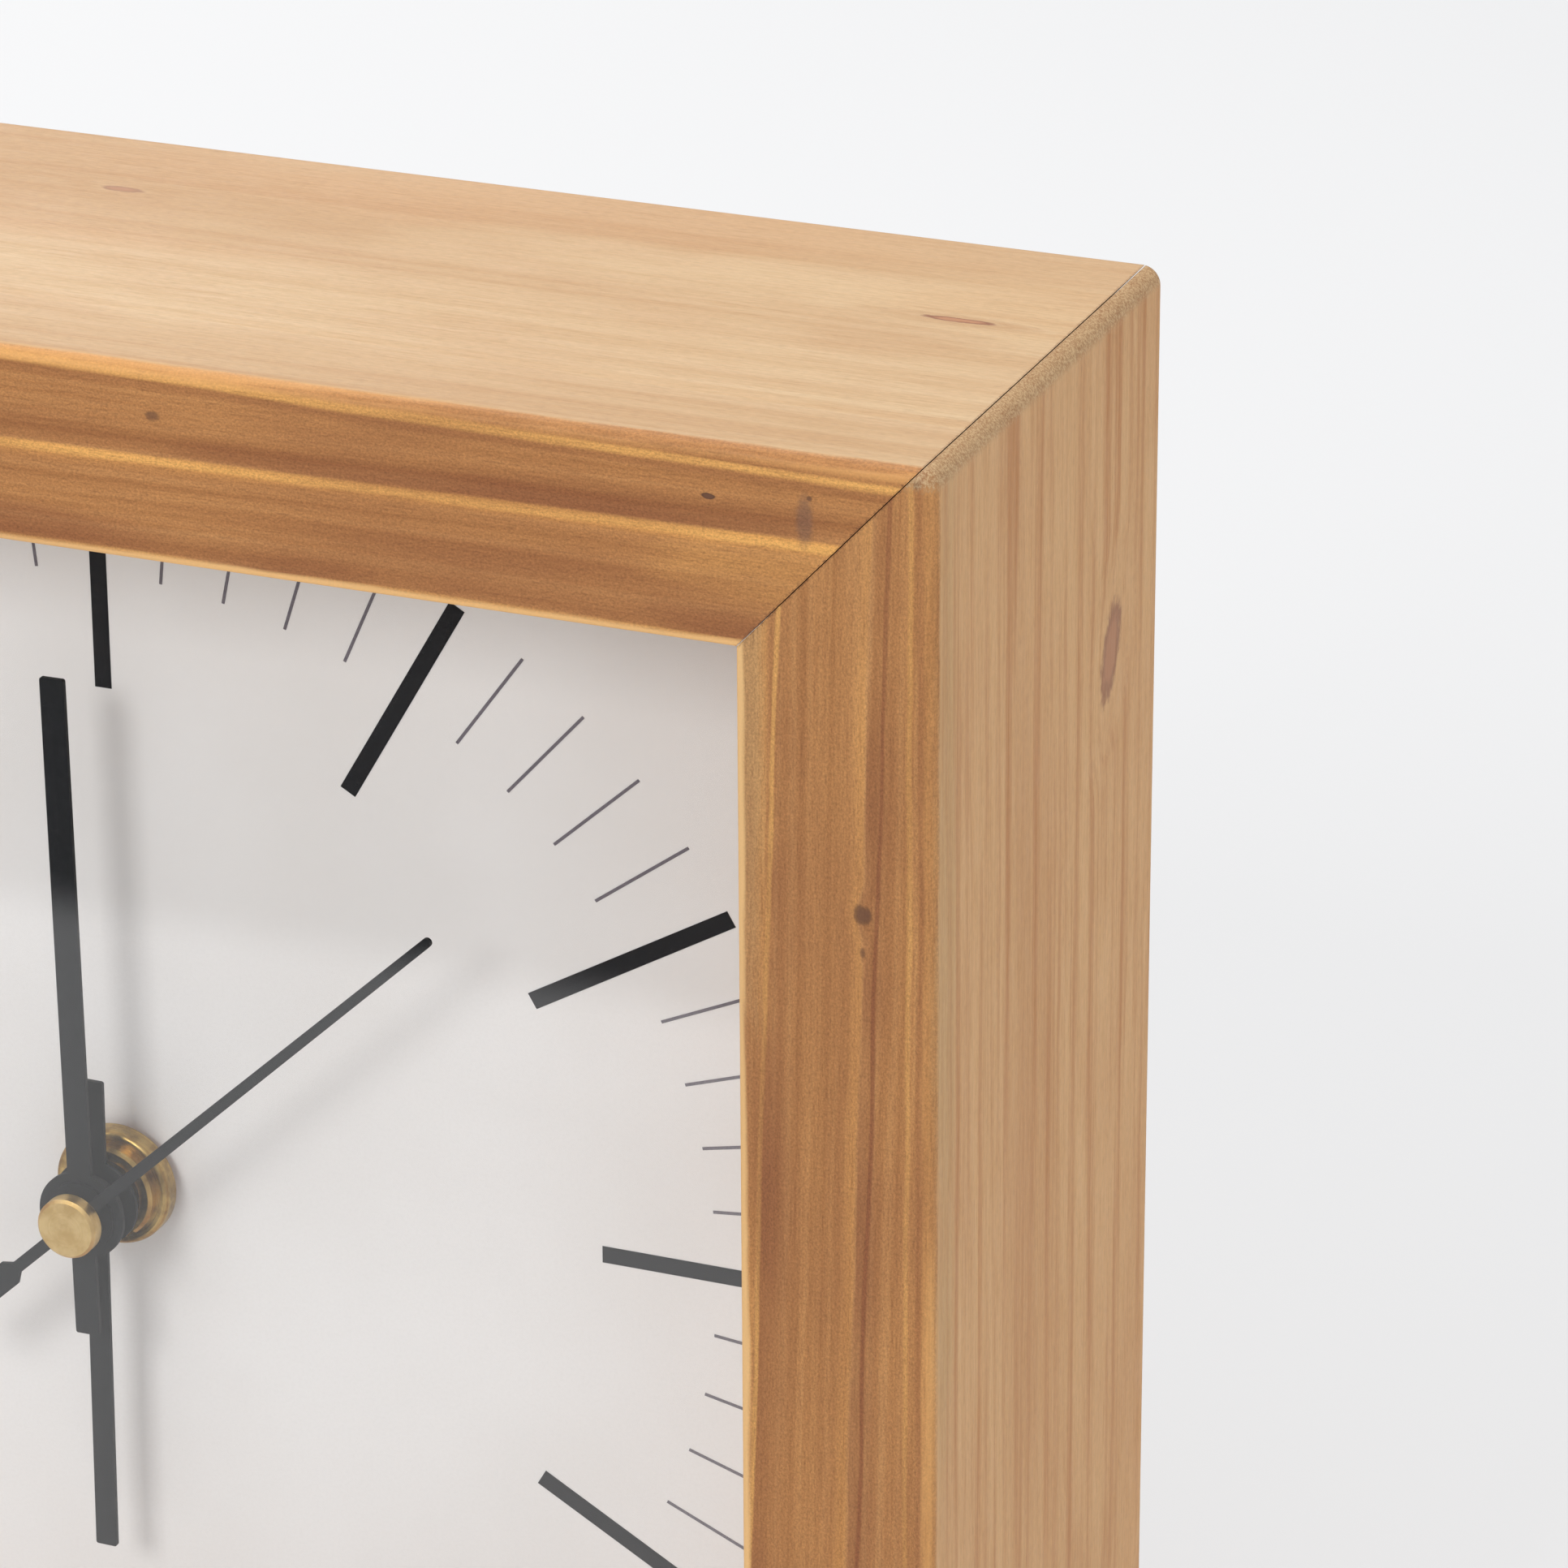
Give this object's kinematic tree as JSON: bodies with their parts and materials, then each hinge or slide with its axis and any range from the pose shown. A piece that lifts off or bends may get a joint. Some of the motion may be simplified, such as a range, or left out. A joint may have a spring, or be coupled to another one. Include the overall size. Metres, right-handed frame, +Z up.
{
  "type": "wall clock",
  "caption": "Square wooden shadow-box wall clock with a deep glazed recess, bar-marked dial, straight black hands and a battery quartz movement.",
  "frame": {"origin": "middle of the case's footprint, on the underside of the bottom board that it stands on", "axes": "+X to the right seen from the front, +Y from the front towards the back, +Z up; the dial faces -Y"},
  "size_m": [0.2, 0.063, 0.2],
  "materials": {
    "case_wood": "satin oil over honey-brown stain",
    "batten_wood": "bare planed softwood",
    "steel": "plain bright steel",
    "zinc_plate": "zinc plated",
    "glass": "clear float glass",
    "board": "bare fibreboard",
    "paper": "matt off-white card",
    "ink": "matt black print",
    "black_metal": "matt black paint",
    "brass": "turned and lightly brushed",
    "case_plastic": "black moulded plastic",
    "white_plastic": "natural acetal",
    "rubber": "soft black rubber",
    "magnet": "sintered ferrite",
    "copper_wire": "enamelled copper wire",
    "circuit_green": "solder resist",
    "cell_wrap": "plain wrapped cell",
    "fibre": "red vulcanised fibre"
  },
  "bodies": {
    "case": {"frame_rail_top": "case_wood", "frame_rail_bottom": "case_wood", "frame_stile_left": "case_wood", "frame_stile_right": "case_wood", "mitre_v_nails": "steel", "batten_top": "batten_wood", "batten_right": "batten_wood", "batten_bottom": "batten_wood", "batten_left": "batten_wood", "batten_pins": "steel", "keyhole_hanger": "zinc_plate", "hanger_screws": "zinc_plate", "glass_pane": "glass", "dial_paper": "paper", "dial_board": "board", "hour_marks": "ink", "minute_marks": "ink", "movement_case": "case_plastic", "movement_cover": "case_plastic", "middle_plate": "white_plastic", "threaded_bush": "brass", "rubber_washer": "rubber", "brass_washer": "brass", "mounting_nut": "brass", "battery": "cell_wrap", "contact_positive": "steel", "contact_negative": "steel", "stator": "steel", "coil_bobbin": "white_plastic", "coil_winding": "copper_wire", "circuit_board": "circuit_green", "clock_chip": "case_plastic", "quartz_crystal": "steel", "fibre_washer": "fibre"},
    "minute": {"minute_hand": "black_metal", "minute_collar": "black_metal", "minute_pipe": "brass"},
    "hour": {"hour_hand": "black_metal", "hour_pipe": "white_plastic"},
    "second": {"second_hand": "black_metal", "second_hand_cap": "brass", "seconds_arbor": "steel"},
    "reverse": {"reverse_wheel": "white_plastic"},
    "knob": {"setting_knob": "case_plastic"},
    "centre": {"centre_wheel": "white_plastic"},
    "third": {"third_wheel": "white_plastic"},
    "intermediate": {"intermediate_wheel": "white_plastic"},
    "rotor": {"rotor_pinion": "white_plastic", "rotor_magnet": "magnet"}
  },
  "joints": [
    {"name": "minute_hand", "type": "hinge", "parent": "case", "child": "minute", "pos_m": [0, 0, 0.0992], "axis": [0, 1, 0], "continuous": true},
    {"name": "hour_hand", "type": "hinge", "parent": "case", "child": "hour", "pos_m": [0, 0, 0.0992], "axis": [0, 1, 0], "continuous": true},
    {"name": "reverse_wheel", "type": "hinge", "parent": "case", "child": "reverse", "pos_m": [-0.008, 0, 0.0992], "axis": [0, 1, 0], "continuous": true},
    {"name": "setting_knob", "type": "hinge", "parent": "case", "child": "knob", "pos_m": [-0.016, 0, 0.0992], "axis": [0, 1, 0], "continuous": true},
    {"name": "second_hand", "type": "hinge", "parent": "case", "child": "second", "pos_m": [0, 0, 0.0992], "axis": [0, 1, 0], "continuous": true},
    {"name": "rotor", "type": "hinge", "parent": "case", "child": "rotor", "pos_m": [0, 0, 0.111], "axis": [0, 1, 0], "continuous": true},
    {"name": "intermediate_wheel", "type": "hinge", "parent": "case", "child": "intermediate", "pos_m": [0, 0, 0.1062], "axis": [0, 1, 0], "continuous": true},
    {"name": "third_wheel", "type": "hinge", "parent": "case", "child": "third", "pos_m": [0.0085, 0, 0.0992], "axis": [0, 1, 0], "continuous": true},
    {"name": "centre_wheel", "type": "hinge", "parent": "case", "child": "centre", "pos_m": [0, 0, 0.0992], "axis": [0, 1, 0], "continuous": true}
  ],
  "couplings": [
    {"joint": "hour_hand", "follows": "minute_hand", "ratio": 0.083333},
    {"joint": "reverse_wheel", "follows": "minute_hand", "ratio": -0.33333},
    {"joint": "setting_knob", "follows": "minute_hand", "ratio": 1},
    {"joint": "rotor", "follows": "second_hand", "ratio": 30},
    {"joint": "intermediate_wheel", "follows": "second_hand", "ratio": -6},
    {"joint": "third_wheel", "follows": "second_hand", "ratio": -0.125},
    {"joint": "centre_wheel", "follows": "second_hand", "ratio": 0.016667}
  ]
}
